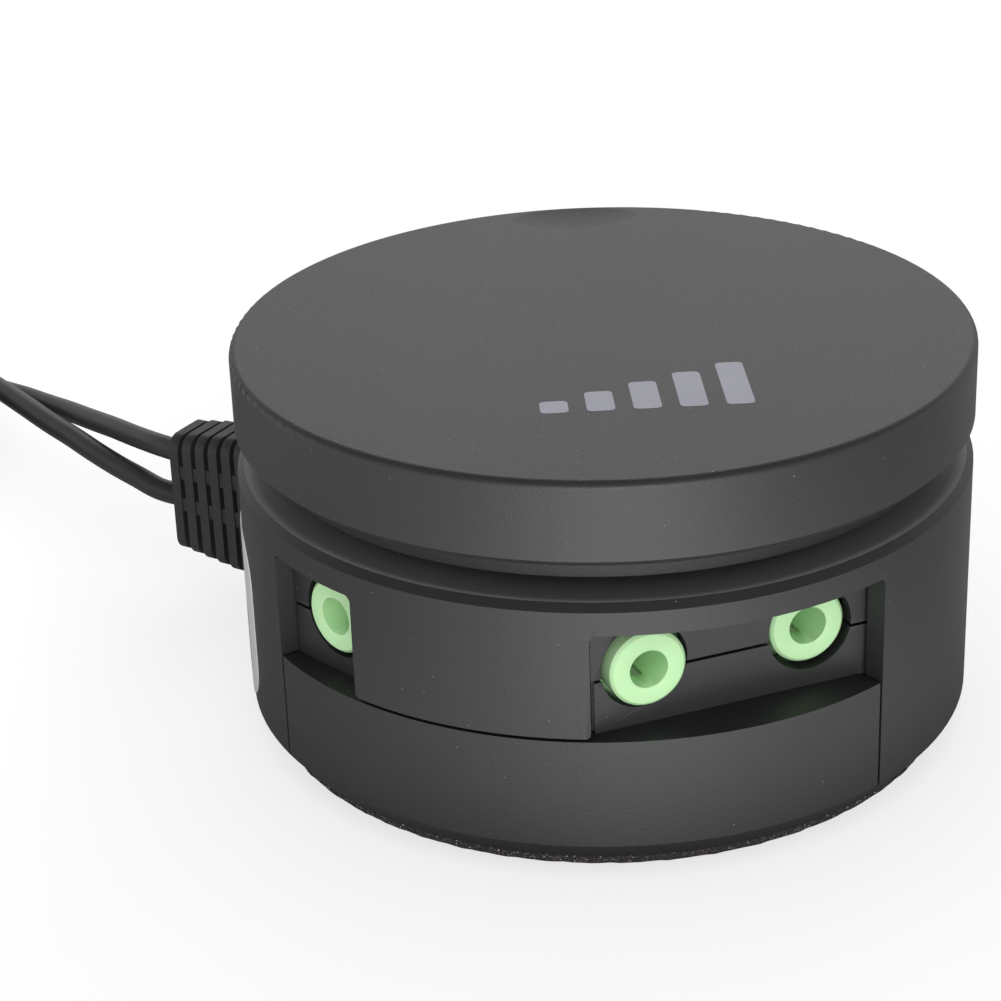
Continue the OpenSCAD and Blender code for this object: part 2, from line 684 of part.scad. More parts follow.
module knob_carrier() color(charcoal) on(knob_turn) difference() {
    union() {
        translate([0, 0, carrier_z]) cylinder(r = carrier_r, h = carrier_t);
        tube(carrier_r - skirt_t, carrier_r, rim_z + skirt_clear, carrier_z + bite);
        translate([0, 0, hub_z]) cylinder(r = hub_r, h = hub_top - hub_z);
    }
    translate([0, 0, hub_z - 1]) intersection() {
        cylinder(r = shaft_d / 2 + shaft_push, h = far);
        translate([-far, -far, 0]) cube([2 * far, far + shaft_flat + shaft_push, far]);
    }
    at_places(knob_screw_at) cylinder(d = small_screw_d + 2 * fit, h = far);
}

// Screws

module housing_screws() color(nickel) at_places(housing_screw_at)
    translate([0, 0, foot_z + screw_head_h]) screw(screw_d, screw_head_d, plate_t - screw_head_h + screw_bite);

module board_screws() color(nickel) at_places(board_screw_at)
    translate([0, 0, board_top]) mirror([0, 0, 1]) screw(small_screw_d, small_head_d, board_t + small_bite - screw_tip);

module knob_screws() color(nickel) on(knob_turn) at_places(knob_screw_at)
    translate([0, 0, carrier_z]) screw(small_screw_d, small_head_d, min(small_bite, cap_under - carrier_z - 2 * screw_tip));

// Leads

// Ends of the leads inside the housing: two jackets, each with three wires soldered to the board
module lead_wires() color(ink_black) on(relief_az) for (z = [upper_lead_z, lower_lead_z]) {
    jacket_end = wire_land + jacket_strip;
    wire_z = z > board_z ? board_top + wire_d / 2 + 0.02 : z;
    translate([0, -flange_d + flange_t, z]) along_y(lead_d / 2, 0, flange_d - flange_t - jacket_end);
    for (x = [-1, 0, 1]) translate([x * (wire_d + 0.1), 0, 0]) {
        translate([0, 0, wire_z]) along_y(wire_d / 2, -jacket_end - bite, -wire_land);
        if (z < board_z) translate([0, -wire_land, wire_z]) cylinder(d = wire_d, h = board_z - wire_z);
        if (z < board_z) translate([0, -wire_land, wire_z]) sphere(d = wire_d);
    }
}

// Tube along a list of points; each ring lies square to the line there, each end cap too
function unit(v) = v / norm(v);
function heading(p, i) = unit(p[min(i + 1, len(p) - 1)] - p[max(i - 1, 0)]);
function ring(centre, along, r, sides) = let (
        side = unit(cross([0, 0, 1], along)),
        up = cross(along, side))
    [for (k = [0:sides - 1]) let (a = (k + 0.5) * 360 / sides) centre + r * (cos(a) * side + sin(a) * up)];

module cord(p, d, sides) {
    n = len(p);
    points = [for (i = [0:n - 1]) each ring(p[i], heading(p, i), d / 2, sides)];
    skin = [for (i = [0:n - 2], k = [0:sides - 1]) let (
            a = i * sides + k,
            b = i * sides + (k + 1) % sides)
        each [[a, a + sides, b], [b, a + sides, b + sides]]];
    caps = [for (k = [1:sides - 2]) each [[0, k, k + 1],
        [(n - 1) * sides, (n - 1) * sides + k + 1, (n - 1) * sides + k]]];
    polyhedron(points, concat(skin, caps), convexity = 10);
}

function run(p) = len(p) < 2 ? 0 : sum([for (i = [1:len(p) - 1]) norm(p[i] - p[i - 1])]);
function sum(v, i = 0) = i < len(v) ? v[i] + sum(v, i + 1) : 0;

// Coil: piled turns that spiral in and out again in four layers. The radius falls and rises steadily,
// and the turn climbs a layer in the half turn where the spiral reverses.
layers = 4;
coil_z = strap_t + 0.1 + lead_d / 2;
function wave(u, n) = abs((u / n) % 2 - 1);
function turn_r(u, n) = coil_mid_r + turn_pitch * n * (wave(u, n) - 0.5);
function rise(t) = t < 0 ? 0 : t > 1 ? 1 : t * t * (3 - 2 * t);
function turn_z(u, n) = coil_z + turn_pitch * sum([for (k = [1:layers - 1]) rise((u - k * n) / 0.5 + 0.5)]);
function coil_at(c, u) = let (n = c[2] / layers, a = c[1] + 360 * u)
    [c[0][0] + turn_r(u, n) * cos(a), c[0][1] + turn_r(u, n) * sin(a), turn_z(u, n)];
function coil_way(c, u) = [-sin(c[1] + 360 * u), cos(c[1] + 360 * u), 0];
function coil_start(c) = coil_at(c, 0) - lead_d * coil_way(c, 0);
function coil_end(c) = coil_at(c, c[2]) + lead_d * coil_way(c, c[2]);
// Last stretch of a lead before its coil, and first of its tail after it, in line with the turns there
function coil_join(c) = [coil_start(c) - lead_d * coil_way(c, 0), coil_start(c)];
function coil_leave(c) = [coil_end(c), coil_end(c) + lead_d * coil_way(c, c[2])];
function coil_line(c) = concat([coil_start(c)], [for (i = [0:24 * c[2]]) coil_at(c, i / 24)], [coil_end(c)]);
// Least gap of a coil to itself, between rings that are at least half a turn apart
function coil_gap(c) = let (p = coil_line(c))
    min([for (i = [0:len(p) - 1]) let (rest = [for (j = [i + 12:1:len(p) - 1]) norm(p[i] - p[j])])
        len(rest) > 0 ? min(rest) : far]) - lead_d;

// Each coil as [centre, angle of its first turn from +X, turns]
upper_coil_at = [[-100.5, 97], 0, 10.5];
lower_coil_at = [[-95, 57], 120, 10.25];

// Routes of the leads: out of the relief, down to the table, and then to the coils
exit_at = relief_end * ray(relief_az);
function leave(z, s) = exit_at + s * ray(relief_az) + [0, 0, z];
upper_route = concat([leave(upper_lead_z, 0), leave(upper_lead_z, 1.2)],
    [[-47.9, 28, 14.9], [-51, 32.5, 13.9], [-54.2, 37.3, 12.9], [-57.7, 42.7, 11.6], [-61.1, 47.9, 10.4],
    [-64.8, 53.3, 9.1], [-68.5, 58.6, 7.9], [-72.4, 63.9, 6.6], [-75.6, 69.3, 5.1], [-78, 74.8, 3.8],
    [-80.2, 80.4, 2.8], [-82, 86.2, 2.1]], coil_join(upper_coil_at));
lower_route = concat([leave(lower_lead_z, 0), leave(lower_lead_z, 1.2)],
    [[-47.9, 26.7, 10.2], [-50.6, 29.4, 10.4], [-53.5, 32.7, 10.4], [-56.6, 36.4, 10.5], [-59.7, 40.5, 10.5],
    [-63.1, 45.1, 10.3], [-66.6, 50.1, 10.1], [-70.4, 55.8, 9.7], [-73.6, 60.9, 9.1], [-76.6, 66, 8],
    [-79.9, 71, 6.3], [-84, 75.3, 4.4], [-89, 77.9, 2.8], [-94.5, 77.4, 1.95]], coil_join(lower_coil_at));

// Plugs as [x, y of the sleeve's end]; both point along -Y and lie on the table
upper_plug_at = [-120.5, 68];
lower_plug_at = [-103, 22];
plug_z = plug_d / 2;
function plug_join(p) = [[p[0], p[1] + lead_d, plug_z], [p[0], p[1], plug_z]];
upper_tail_route = concat(coil_leave(upper_coil_at),
    [[-118.5, 88, 10], [-119.2, 83.5, 8.5], [-119.9, 79, 6.6], [-120.4, 74.5, 4.9]], plug_join(upper_plug_at));
lower_tail_route = concat(coil_leave(lower_coil_at),
    [[-105.9, 40.2, 9.9], [-104.6, 36.4, 8.4], [-103.6, 32.4, 6.5], [-103.1, 28.4, 4.9]], plug_join(lower_plug_at));

module upper_lead() color(ink_black) cord(upper_route, lead_d, 8);
module lower_lead() color(ink_black) cord(lower_route, lead_d, 8);
module upper_coil() color(ink_black) cord(coil_line(upper_coil_at), lead_d, 6);
module lower_coil() color(ink_black) cord(coil_line(lower_coil_at), lead_d, 6);
module upper_tail() color(ink_black) cord(upper_tail_route, lead_d, 8);
module lower_tail() color(ink_black) cord(lower_tail_route, lead_d, 8);

// Strap round a coil's turns, at an angle from +X about the coil's centre
module tie(c, angle) color([0.2, 0.2, 0.2]) translate([c[0][0], c[0][1], 0]) rotate([0, 0, angle]) difference() {
    band = turn_pitch * c[2] / layers;
    near = coil_mid_r - band / 2 - lead_d / 2 - 0.6;
    out = coil_mid_r + band / 2 + lead_d / 2 + 0.25;
    high = coil_z + turn_pitch * (layers - 1) + lead_d / 2 + 0.2;
    translate([near - strap_t, -strap_w / 2, 0]) cube([out - near + 2 * strap_t, strap_w, high + strap_t]);
    translate([near, -strap_w, strap_t]) cube([out - near, 2 * strap_w, high - strap_t]);
}
module upper_tie() tie(upper_coil_at, 90);
module lower_tie() tie(lower_coil_at, -30);

// Plug: a tapered sleeve and a moulding, then the pin's sleeve, ring and tip between insulating rings
module at_plug(p) translate([p[0], p[1], plug_z]) rotate([90, 0, 0]) children();
ring_w = 0.6;
tip_len = 3.6;
band_len = 2.6;
sleeve_part = pin_len - tip_len - band_len - 2 * ring_w;

module plug_moulding(p) color(ink_black) at_plug(p) rotate_extrude() polygon([[0, 0], [lead_d / 2 + 0.6, 0],
    [plug_d * 0.36, sleeve_len], [plug_d / 2, sleeve_len + 0.8], [plug_d / 2, sleeve_len + plug_len - 0.6],
    [plug_d / 2 - 0.6, sleeve_len + plug_len], [0, sleeve_len + plug_len]]);

module plug_pin(p) color(nickel) at_plug(p) translate([0, 0, sleeve_len + plug_len]) {
    cylinder(d = pin_d, h = sleeve_part);
    translate([0, 0, sleeve_part + ring_w]) cylinder(d = pin_d, h = band_len);
    translate([0, 0, pin_len - tip_len]) rotate_extrude()
        polygon([[0, 0], [pin_d / 2, 0], [pin_d / 2, 0.5], [pin_d * 0.33, 1.2], [pin_d / 2, 2.1],
            [pin_d * 0.22, tip_len], [0, tip_len]]);
}

module plug_rings(p) color([0.08, 0.08, 0.08]) at_plug(p) translate([0, 0, sleeve_len + plug_len + sleeve_part])
    for (z = [0, ring_w + band_len]) translate([0, 0, z]) cylinder(d = pin_d, h = ring_w);

module upper_plug() plug_moulding(upper_plug_at);
module lower_plug() plug_moulding(lower_plug_at);
module upper_plug_pin() plug_pin(upper_plug_at);
module lower_plug_pin() plug_pin(lower_plug_at);
module upper_plug_rings() plug_rings(upper_plug_at);
module lower_plug_rings() plug_rings(lower_plug_at);

echo(upper_lead_length = run(upper_route) + run(coil_line(upper_coil_at)) + run(upper_tail_route));
echo(lower_lead_length = run(lower_route) + run(coil_line(lower_coil_at)) + run(lower_tail_route));
echo(least_gap_in_upper_coil = coil_gap(upper_coil_at), least_gap_in_lower_coil = coil_gap(lower_coil_at));

upper_housing();
lower_housing();
foam_pad();
label();
strain_relief();
circuit_board();
socket_left();
socket_middle();
socket_right();
socket_left_contacts();
socket_middle_contacts();
socket_right_contacts();
pot_case();
pot_tracks();
pot_terminals();
pot_bush();
pot_washer();
pot_nut();
housing_screws();
board_screws();
lead_wires();
upper_lead();
lower_lead();
upper_coil();
lower_coil();
upper_tail();
lower_tail();
upper_tie();
lower_tie();
upper_plug();
lower_plug();
upper_plug_pin();
lower_plug_pin();
upper_plug_rings();
lower_plug_rings();
knob_cap();
knob_carrier();
knob_screws();
pot_shaft();
pot_rotor();
pot_wipers();
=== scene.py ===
import bpy
import bmesh
import math
from mathutils import Matrix, Vector


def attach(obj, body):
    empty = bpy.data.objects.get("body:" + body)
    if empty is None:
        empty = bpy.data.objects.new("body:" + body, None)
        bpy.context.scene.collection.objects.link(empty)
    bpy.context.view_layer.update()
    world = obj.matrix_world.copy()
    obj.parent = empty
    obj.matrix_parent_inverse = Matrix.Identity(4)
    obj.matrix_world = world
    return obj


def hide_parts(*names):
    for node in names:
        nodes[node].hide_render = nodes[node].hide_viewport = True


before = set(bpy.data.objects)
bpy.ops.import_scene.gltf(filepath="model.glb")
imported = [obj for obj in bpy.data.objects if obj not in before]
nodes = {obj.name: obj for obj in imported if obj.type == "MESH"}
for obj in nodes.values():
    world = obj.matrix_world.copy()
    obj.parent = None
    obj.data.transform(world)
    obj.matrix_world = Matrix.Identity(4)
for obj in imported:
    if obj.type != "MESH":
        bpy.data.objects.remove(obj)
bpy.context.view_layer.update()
scene = bpy.context.scene
scene.view_settings.view_transform = "Standard"
MM = 0.001

# Camera: solved from the outline of the knob, the rim and the foot in the photograph
camera = bpy.data.objects.new("photo_camera", bpy.data.cameras.new("photo_camera"))
scene.collection.objects.link(camera)
camera.location = (0, -0.23705, 0.13163)
camera.rotation_euler = [math.radians(a) for a in (64.904, 1.900, 1.539)]
camera.data.sensor_width = 36
camera.data.lens = 97.194
camera.data.clip_start = 0.01
scene.camera = camera


# Shader nodes

COLOUR, FLOAT, VECTOR = "NodeSocketColor", "NodeSocketFloat", "NodeSocketVector"
# Numbers of the two inputs and of the output that a Mix node uses for each kind of value
MIX_SOCKETS = {"FLOAT": (2, 3, 0), "VECTOR": (4, 5, 1), "RGBA": (6, 7, 2)}
# Shader socket that each output of an effect feeds
SHADER_SOCKETS = {"Colour": "Base Color", "Roughness": "Roughness", "Normal": "Normal"}
# Band in which most of a noise texture's values lie
NOISE_BAND = (0.3, 0.7)
# Radius or height, in metres, for a plastic that has no such edge or rim
NOWHERE = 9.0


def effect(name, inputs, outputs):
    """New shader node group with named sockets; each input is (name, kind, value)."""
    group = bpy.data.node_groups.new(name, "ShaderNodeTree")
    for label, kind, value in inputs:
        socket = group.interface.new_socket(label, in_out="INPUT", socket_type=kind)
        socket.default_value = value
    for label, kind in outputs:
        group.interface.new_socket(label, in_out="OUTPUT", socket_type=kind)
    start = group.nodes.new("NodeGroupInput")
    end = group.nodes.new("NodeGroupOutput")
    return group, start.outputs, end.inputs


def add(tree, kind, links=(), **settings):
    """New node in a tree; links are (socket name or number, what feeds it)."""
    node = tree.nodes.new(kind)
    for key, value in settings.items():
        setattr(node, key, value)
    for key, source in links:
        if hasattr(source, "is_output"):
            tree.links.new(source, node.inputs[key])
        else:
            node.inputs[key].default_value = source
    return node


def maths(tree, operation, first, second=0.0):
    return add(tree, "ShaderNodeMath", [(0, first), (1, second)], operation=operation).outputs[0]


def vectors(tree, operation, *links):
    return add(tree, "ShaderNodeVectorMath", links, operation=operation).outputs[0]


def length(tree, vector):
    return add(tree, "ShaderNodeVectorMath", [(0, vector)], operation="LENGTH").outputs["Value"]


def parts(tree, vector):
    return add(tree, "ShaderNodeSeparateXYZ", [(0, vector)]).outputs


def ramp(tree, value, start, end, low=0.0, high=1.0, curve="LINEAR"):
    """Value that goes from low to high while another goes from start to end."""
    return add(tree, "ShaderNodeMapRange", [("Value", value), ("From Min", start), ("From Max", end),
        ("To Min", low), ("To Max", high)], interpolation_type=curve).outputs[0]


def ease(tree, value, start, end, low, high):
    return ramp(tree, value, start, end, low, high, "SMOOTHSTEP")


def blend(tree, kind, factor, first, second):
    one, two, out = MIX_SOCKETS[kind]
    return add(tree, "ShaderNodeMix", [(0, factor), (one, first), (two, second)], data_type=kind).outputs[out]


def noise(tree, place, scale, detail):
    links = [("Vector", place), ("Scale", scale), ("Detail", detail)]
    return add(tree, "ShaderNodeTexNoise", links).outputs["Fac"]


def cells(tree, place, scale, feature="F1"):
    return add(tree, "ShaderNodeTexVoronoi", [("Vector", place), ("Scale", scale)], feature=feature).outputs


def draw(tree, colour):
    """One number between nought and one from a cell's colour."""
    return add(tree, "ShaderNodeSeparateColor", [(0, colour)]).outputs[0]


def raised(tree, height, distance, strength=1.0, skin=None):
    """Normal of a surface that a height raises, on top of another normal where one is given."""
    links = [("Height", height), ("Strength", strength), ("Distance", distance)]
    if skin is not None:
        links.append(("Normal", skin))
    return add(tree, "ShaderNodeBump", links).outputs[0]


def put_out(group, end, **sources):
    for label, source in sources.items():
        group.links.new(source, end[label])


# Effects

def turned_place(tree, place):
    """A place's way out from the Z axis, its distance from that axis, and its height."""
    x, y, z = parts(tree, place)
    flat = add(tree, "ShaderNodeCombineXYZ", [(0, x), (1, y)]).outputs[0]
    return flat, length(tree, flat), z


def turned_edge(tree, flat, reach, height, edge_radius, edge_height):
    """Surface normal, exact on a rounded upper edge whose arc is centred at a radius and height about Z."""
    over = maths(tree, "SUBTRACT", reach, edge_radius)
    rise = maths(tree, "SUBTRACT", height, edge_height)
    out = vectors(tree, "SCALE", (0, vectors(tree, "NORMALIZE", (0, flat))), ("Scale", over))
    up = add(tree, "ShaderNodeCombineXYZ", [(2, rise)]).outputs[0]
    arc = add(tree, "ShaderNodeVectorTransform", [(0, vectors(tree, "ADD", (0, out), (1, up)))],
        vector_type="NORMAL", convert_from="OBJECT", convert_to="WORLD").outputs[0]
    arc = vectors(tree, "NORMALIZE", (0, arc))
    on_arc = maths(tree, "GREATER_THAN", maths(tree, "MINIMUM", over, rise))
    plain = add(tree, "ShaderNodeNewGeometry").outputs["Normal"]
    return blend(tree, "VECTOR", on_arc, plain, arc)


def moulded_grain():
    """Spark-eroded skin of moulded plastic: fine grain, faint flow mottle, a few dust specks, and a pale coat
    on faces that look up, part dust and part painted light, stronger towards the rim radius. Level is the
    share by which a dish inside the rounded edge is shaded flat."""
    group, given, end = effect("moulded_grain", [("Colour", COLOUR, (0.05, 0.05, 0.05, 1)),
        ("Grain", FLOAT, 2600), ("Depth", FLOAT, 0.00002), ("Mottle", FLOAT, 0.12), ("Dust", FLOAT, 0.3),
        ("Film", FLOAT, 0.0), ("Rough", FLOAT, 0.5), ("Edge Radius", FLOAT, NOWHERE),
        ("Edge Height", FLOAT, NOWHERE), ("Rim", FLOAT, NOWHERE), ("Level", FLOAT, 0.0)],
        [("Colour", COLOUR), ("Roughness", FLOAT), ("Normal", VECTOR)])
    flow_scale, speck_scale, rough_spread = 45.0, 1000.0, 0.07
    # Painted light: towards the rim radius the pale coat, part dust and part painted light, grows from 0.85
    # to 2.1 times its strength
    rim_width, dust_and_light_inside, dust_and_light_at_rim = 0.0012, 0.85, 2.1
    bare_cells, speck_end, speck_core = 0.75, 0.05, 0.03
    # How far a face has to look up, from nought to one, to start and to reach its full share of an effect
    dish_up, dust_and_light_up = (0.7, 0.8), (0.8, 0.98)
    dust_and_light_colour, speck_colour = (0.32, 0.31, 0.3, 1), (0.75, 0.75, 0.75, 1)
    coords = add(group, "ShaderNodeTexCoord").outputs
    place = coords["Object"]
    flat, reach, height = turned_place(group, place)
    upward = parts(group, coords["Normal"])["Z"]
    fine = noise(group, place, given["Grain"], detail=3.0)
    flow = noise(group, place, flow_scale, detail=4.0)

    edged = turned_edge(group, flat, reach, height, given["Edge Radius"], given["Edge Height"])
    within = maths(group, "LESS_THAN", reach, given["Edge Radius"])
    level = maths(group, "MULTIPLY", ramp(group, upward, *dish_up, 0.0, given["Level"]), within)
    skin = blend(group, "VECTOR", level, edged, (0, 0, 1))

    shade = ramp(group, flow, *NOISE_BAND, maths(group, "SUBTRACT", 1.0, given["Mottle"]),
        maths(group, "ADD", 1.0, given["Mottle"]))
    tint = vectors(group, "SCALE", (0, given["Colour"]), ("Scale", shade))
    # Pale coat on faces that look up, part dust and part painted light, stronger towards the rim radius
    rim_dust_and_light = ramp(group, reach, maths(group, "SUBTRACT", given["Rim"], rim_width), given["Rim"],
        dust_and_light_inside, dust_and_light_at_rim)
    dust_and_light = ramp(group, upward, *dust_and_light_up, 0.0, maths(group, "MULTIPLY", given["Film"], rim_dust_and_light))
    dust_and_lit = blend(group, "RGBA", dust_and_light, tint, dust_and_light_colour)

    specks = cells(group, place, speck_scale)
    few = maths(group, "GREATER_THAN", draw(group, specks["Color"]), bare_cells)
    dot = ramp(group, specks["Distance"], speck_end, speck_core, 0.0, given["Dust"])
    dusty = blend(group, "RGBA", maths(group, "MULTIPLY", dot, few), dust_and_lit, speck_colour)
    rough = ramp(group, fine, *NOISE_BAND, given["Rough"], maths(group, "ADD", given["Rough"], rough_spread))
    put_out(group, end, Colour=dusty, Roughness=rough,
        Normal=raised(group, fine, given["Depth"], skin=skin))
    return group


def foam_cells():
    """Open-cell foam: dark cells, ragged ribs, and cut cell walls that show as pale specks."""
    group, given, end = effect("foam_cells", [("Colour", COLOUR, (0.02, 0.02, 0.02, 1)),
        ("Rib", COLOUR, (0.1, 0.09, 0.08, 1)), ("Speck", COLOUR, (0.4, 0.36, 0.32, 1)),
        ("Cells", FLOAT, 2600), ("Depth", FLOAT, 0.0002)], [("Colour", COLOUR), ("Normal", VECTOR)])
    tear_scale, wall_scale = 2200.0, 3400.0
    rib_end, rib_core = 0.16, 0.02
    speck_end, speck_core = 0.34, 0.16
    whole_walls, cut_walls = 0.45, 0.95
    place = add(group, "ShaderNodeTexCoord").outputs["Object"]
    to_edge = cells(group, place, given["Cells"], "DISTANCE_TO_EDGE")["Distance"]
    tears = noise(group, place, tear_scale, detail=5.0)
    ribs = maths(group, "MULTIPLY", ramp(group, to_edge, rib_end, rib_core), tears)
    ribbed = blend(group, "RGBA", ribs, given["Colour"], given["Rib"])
    walls = cells(group, place, wall_scale)
    some = ramp(group, draw(group, walls["Color"]), whole_walls, cut_walls)
    dot = ramp(group, walls["Distance"], speck_end, speck_core)
    flecked = blend(group, "RGBA", maths(group, "MULTIPLY", dot, some), ribbed, given["Speck"])
    put_out(group, end, Colour=flecked, Normal=raised(group, ribs, given["Depth"]))
    return group


def drawn_metal():
    """Plated sheet or turned metal: faint drawing lines and uneven polish."""
    group, given, end = effect("drawn_metal", [("Rough", FLOAT, 0.2), ("Lines", FLOAT, 900)],
        [("Roughness", FLOAT), ("Normal", VECTOR)])
    line_stretch, line_depth, line_strength, rough_spread = (1, 1, 6), 0.00001, 0.5, 0.16
    place = add(group, "ShaderNodeTexCoord").outputs["Object"]
    stretched = add(group, "ShaderNodeMapping", [("Vector", place), ("Scale", line_stretch)]).outputs[0]
    lines = noise(group, stretched, given["Lines"], detail=3.0)
    rough = ramp(group, lines, *NOISE_BAND, given["Rough"], maths(group, "ADD", given["Rough"], rough_spread))
    put_out(group, end, Roughness=rough, Normal=raised(group, lines, line_depth, line_strength))
    return group


# Materials

def material(name, colour, rough, **sockets):
    """New material with one Principled shader; sockets are set on the shader by name."""
    mat = bpy.data.materials.new(name)
    mat.use_nodes = True
    shader = mat.node_tree.nodes["Principled BSDF"]
    shader.inputs["Base Color"].default_value = (*colour, 1)
    shader.inputs["Roughness"].default_value = rough
    for key, value in sockets.items():
        shader.inputs[key.replace("_", " ")].default_value = value
    mat.diffuse_color = (*colour, 1)
    return mat


def use(mat, group, **values):
    """Puts an effect in a material and feeds the shader from its outputs."""
    tree = mat.node_tree
    node = tree.nodes.new("ShaderNodeGroup")
    node.node_tree = group
    for key, value in values.items():
        node.inputs[key.replace("_", " ")].default_value = value
    shader = tree.nodes["Principled BSDF"]
    for source in node.outputs:
        tree.links.new(source, shader.inputs[SHADER_SOCKETS[source.name]])


moulded_skin, foam_cut, metal_skin = moulded_grain(), foam_cells(), drawn_metal()


def plastic(name, colour, rough, grain=2600, depth=0.00002, mottle=0.1, dust=0.0, dust_and_light=0.0,
        edge=(NOWHERE, NOWHERE), rim=NOWHERE, level=0.0, **sockets):
    """Plastic, paper or print; edge is the radius and height at which a rounded edge's arc is centred."""
    mat = material(name, colour, rough, **sockets)
    use(mat, moulded_skin, Colour=(*colour, 1), Grain=grain, Depth=depth, Mottle=mottle, Dust=dust, Film=dust_and_light,
        Rough=rough, Edge_Radius=edge[0], Edge_Height=edge[1], Rim=rim, Level=level)
    return mat


def plated(name, colour, rough, metallic=1.0):
    mat = material(name, colour, rough, Metallic=metallic)
    use(mat, metal_skin, Rough=rough)
    return mat


MATT_BLACK = {"rough": 0.46, "grain": 6000, "depth": 0.00003, "mottle": 0.12, "dust": 0.6,
    "Specular_IOR_Level": 0.65}
knob_plastic = plastic("knob_plastic", (0.02, 0.02, 0.022), edge=(0.0343, 0.0377), level=0.6, **MATT_BLACK)
# The housing's faces that look up get a pale coat, part dust and part painted light, strongest at the deck's
# rim under the knob
housing_plastic = plastic("housing_plastic", (0.014, 0.014, 0.015), dust_and_light=0.45, rim=0.0344, **MATT_BLACK)
lower_plastic = plastic("lower_plastic", (0.014, 0.014, 0.015), **MATT_BLACK)
carrier_plastic = plastic("carrier_plastic", (0.012, 0.012, 0.013), 0.5, grain=4500, depth=0.00003,
    mottle=0.2, dust=0.4)
cable_pvc = plastic("cable_pvc", (0.022, 0.022, 0.024), 0.42, grain=1800, depth=0.00001,
    mottle=0.15, dust=0.1)
relief_pvc = plastic("relief_pvc", (0.026, 0.026, 0.028), 0.5, grain=1800, mottle=0.15, dust=0.2)
strap_nylon = plastic("strap_nylon", (0.016, 0.016, 0.017), 0.5, grain=3500, depth=0.00003,
    mottle=0.2, dust=0.1)
ring_plastic = plastic("ring_plastic", (0.008, 0.008, 0.008), 0.3, depth=0.000005, mottle=0.05)
green_plastic = plastic("green_plastic", (0.57, 0.89, 0.49), 0.36, grain=1500, depth=0.000006, mottle=0.04,
    Subsurface_Weight=0.25, Subsurface_Scale=0.0006)
board_mask = plastic("board_mask", (0.02, 0.12, 0.05), 0.35, grain=900, depth=0.00001, mottle=0.2)
phenolic = plastic("phenolic", (0.22, 0.11, 0.05), 0.55, grain=1200, depth=0.00001, mottle=0.2)
rotor_plastic = plastic("rotor_plastic", (0.7, 0.66, 0.58), 0.45, grain=1500, depth=0.000006, mottle=0.05)
# The label's paper is set grey rather than white: painted shade, for the weaker light on this side of the
# body
label_paper = plastic("label_paper", (0.62, 0.62, 0.615), 0.5, grain=1800, depth=0.000006, mottle=0.02)
bar_ink = plastic("bar_ink", (0.24, 0.24, 0.29), 0.4, grain=4000, depth=0.00001, mottle=0.06)
mark_ink = plastic("mark_ink", (0.36, 0.36, 0.36), 0.5, grain=4000, depth=0.000005)
nickel = plated("nickel", (0.72, 0.69, 0.63), 0.16)
spring_metal = plated("spring_metal", (0.9, 0.88, 0.84), 0.3, metallic=0.5)
zinc = plated("zinc", (0.6, 0.6, 0.6), 0.3)
bronze = plated("bronze", (0.75, 0.55, 0.22), 0.25)
foam_skin = material("foam_skin", (0.03, 0.027, 0.024), 0.95, Specular_IOR_Level=0.2)
use(foam_skin, foam_cut, Colour=(0.028, 0.025, 0.025, 1), Rib=(0.15, 0.135, 0.13, 1),
    Speck=(0.48, 0.45, 0.43, 1))

FINISH = {
    knob_plastic: ["knob_cap"],
    housing_plastic: ["upper_housing"],
    lower_plastic: ["lower_housing"],
    carrier_plastic: ["knob_carrier"],
    relief_pvc: ["strain_relief"],
    cable_pvc: ["lead_wires", "upper_lead", "lower_lead", "upper_coil", "lower_coil", "upper_tail",
        "lower_tail", "upper_plug", "lower_plug"],
    strap_nylon: ["upper_tie", "lower_tie"],
    ring_plastic: ["upper_plug_rings", "lower_plug_rings"],
    green_plastic: ["socket_left", "socket_middle", "socket_right"],
    board_mask: ["circuit_board"],
    phenolic: ["pot_tracks"],
    rotor_plastic: ["pot_rotor"],
    label_paper: ["label"],
    nickel: ["pot_terminals", "pot_bush", "pot_nut", "upper_plug_pin", "lower_plug_pin"],
    spring_metal: ["socket_left_contacts", "socket_middle_contacts", "socket_right_contacts"],
    zinc: ["pot_case", "pot_washer", "housing_screws", "board_screws", "knob_screws", "pot_shaft"],
    bronze: ["pot_wipers"],
    foam_skin: ["foam_pad"],
}
for mat, names in FINISH.items():
    for name in names:
        nodes[name].data.materials.clear()
        nodes[name].data.materials.append(mat)


# Rounded edges

def round_edges(piece, label, width, sharp):
    """Rounds the edges at which a piece's faces turn by more than an angle in degrees."""
    edge = piece.modifiers.new(label, "BEVEL")
    edge.width = width
    edge.segments = 2
    edge.limit_method = "ANGLE"
    edge.angle_limit = math.radians(sharp)


def soften(name, width):
    """Rounds a CAD node's sharp edges with modifiers; its own mesh stays as it is."""
    weld = nodes[name].modifiers.new("close_seams", "WELD")
    weld.merge_threshold = 2e-6
    round_edges(nodes[name], "round_edges", width, sharp=22)
    shade = nodes[name].modifiers.new("even_shading", "WEIGHTED_NORMAL")
    shade.weight = 80


# Cords: the same routes as the CAD solids, in millimetres

LEAD_D = 2.5
# Coils: distance between turns, radius at the middle of the winding, layers, and height of the lowest layer
PITCH, MID_R, LAYERS, COIL_Z = 3.0, 13.5, 4, 1.85
# Each coil's centre, the angle at which it starts, and its turns
UPPER_COIL = {"centre": (-100.5, 97), "first": 0, "turns": 10.5}
LOWER_COIL = {"centre": (-95, 57), "first": 120, "turns": 10.25}
# Way round the body to the strain relief, its end's distance from the axis, and the leads' heights there
RELIEF_AZ, RELIEF_END = math.radians(-119), 50.4
UPPER_EXIT_Z, LOWER_EXIT_Z = 15.4, 10.2
# Ends of the leads, where the plugs' sleeves start
UPPER_END, LOWER_END = (-120.5, 68, 4.2), (-103, 22, 4.2)


